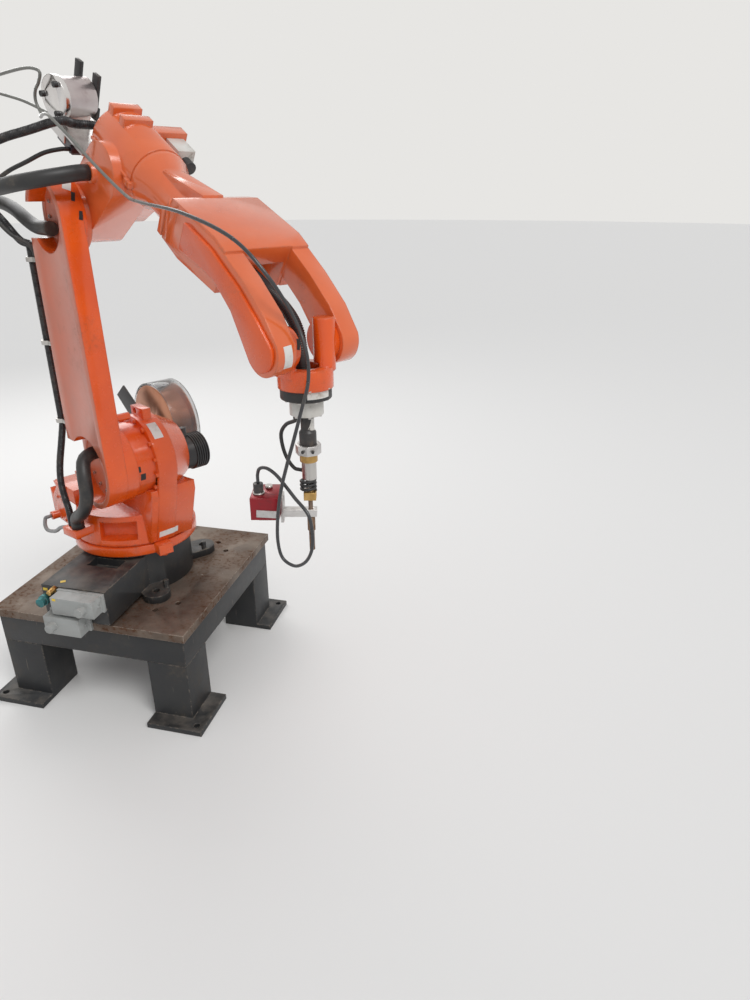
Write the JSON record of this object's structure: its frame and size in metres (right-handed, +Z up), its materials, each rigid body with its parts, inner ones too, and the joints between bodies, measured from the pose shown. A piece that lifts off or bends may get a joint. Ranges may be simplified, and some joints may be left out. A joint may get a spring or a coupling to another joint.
{
  "type": "industrial robot arm",
  "caption": "Articulated arc welding robot with a hollow fork forearm, wire feeder, spool, torch and seam sensor, on a bolted steel stand.",
  "frame": {"origin": "on the floor, at the middle of the object's footprint box at rest", "axes": "+Z up; +Y the base's forward direction, the connector panel faces -Y; +X to the right seen from behind the base"},
  "size_m": [1.441, 1.1268, 2.1005],
  "materials": {
    "orange_paint": "glossy orange paint on cast aluminium",
    "black_paint": "satin black paint",
    "worn_steel": "bare mill steel, brown with dirt and rust",
    "bright_metal": "machined aluminium",
    "brass": "machined brass",
    "grey_cast": "grey die cast hoods",
    "black_rubber": "matt black rubber",
    "white_plastic": "off-white insulating plastic",
    "teal_metal": "teal plated connector",
    "copper_wire": "copper coated welding wire in layers",
    "clear_plastic": "clear plastic, a little scratched",
    "black_plastic": "black moulded plastic",
    "red_anodised": "red anodised aluminium"
  },
  "bodies": {
    "stand": {"stand_top_plate": "worn_steel", "stand_apron": "black_paint", "stand_leg_front_left": "black_paint", "stand_leg_front_right": "black_paint", "stand_leg_back_left": "black_paint", "stand_leg_back_right": "black_paint", "base_casting": "black_paint", "power_connector": "grey_cast", "signal_connector": "grey_cast", "round_connector": "teal_metal", "air_fitting": "brass"},
    "turret": {"turret_casting": "orange_paint", "turret_motor_cover": "orange_paint", "shoulder_motor": "black_paint", "spool_bracket": "black_paint", "wire_spool": "copper_wire", "spool_cover": "clear_plastic", "gland_cable": "grey_cast"},
    "upper_arm": {"upper_arm_casting": "orange_paint", "arm_conduit": "black_rubber", "shoulder_hose": "black_rubber", "elbow_conduit": "black_rubber", "elbow_hose": "black_rubber", "feeder_hose": "black_rubber"},
    "elbow": {"elbow_casting": "orange_paint", "roll_motor": "white_plastic", "feeder_bracket": "bright_metal", "feeder_drum": "bright_metal", "feeder_levers": "black_plastic", "feeder_motor": "black_paint"},
    "forearm": {"forearm_fork": "orange_paint", "wrist_drive_cover": "orange_paint", "forearm_hose": "black_rubber", "sensor_cable": "black_rubber"},
    "wrist": {"wrist_yoke": "orange_paint"},
    "tool": {"tool_ring": "black_paint", "insulating_flange": "white_plastic", "torch_neck": "black_rubber", "torch_clamp": "bright_metal", "torch_body": "bright_metal", "torch_brass_block": "brass", "torch_nozzle": "black_paint", "sensor_bracket": "bright_metal", "seam_sensor": "red_anodised", "torch_lead": "black_rubber"}
  },
  "joints": [
    {"name": "base_turn", "type": "hinge", "parent": "stand", "child": "turret", "pos_m": [-0.29748, 0.12541, 0.385], "axis": [0, 0, 1], "range_deg": [-43.7, 286.3]},
    {"name": "shoulder_lean", "type": "hinge", "parent": "turret", "child": "upper_arm", "pos_m": [-0.16076, 0.04229, 0.905], "axis": [0.5195, 0.8545, 0], "range_deg": [-60, 55], "deforming": ["arm_conduit", "shoulder_hose"]},
    {"name": "elbow_lift", "type": "hinge", "parent": "upper_arm", "child": "elbow", "pos_m": [-0.16076, 0.04229, 1.685], "axis": [-0.5195, -0.8545, 0], "range_deg": [-35, 100], "deforming": ["elbow_conduit", "elbow_hose", "feeder_hose"]},
    {"name": "forearm_roll", "type": "hinge", "parent": "elbow", "child": "forearm", "pos_m": [-0.05138, -0.02422, 1.8939], "axis": [0.7285, -0.443, -0.5225], "range_deg": [-165, 165], "deforming": ["sensor_cable"]},
    {"name": "wrist_bend", "type": "hinge", "parent": "forearm", "child": "wrist", "pos_m": [0.60431, -0.42289, 1.42365], "axis": [-0.5195, -0.8545, 0], "range_deg": [-61.5, 178.5], "deforming": ["forearm_hose"]},
    {"name": "tool_roll", "type": "hinge", "parent": "wrist", "child": "tool", "pos_m": [0.60431, -0.42289, 1.28365], "axis": [0, 0, -1], "range_deg": [-220, 220]}
  ]
}
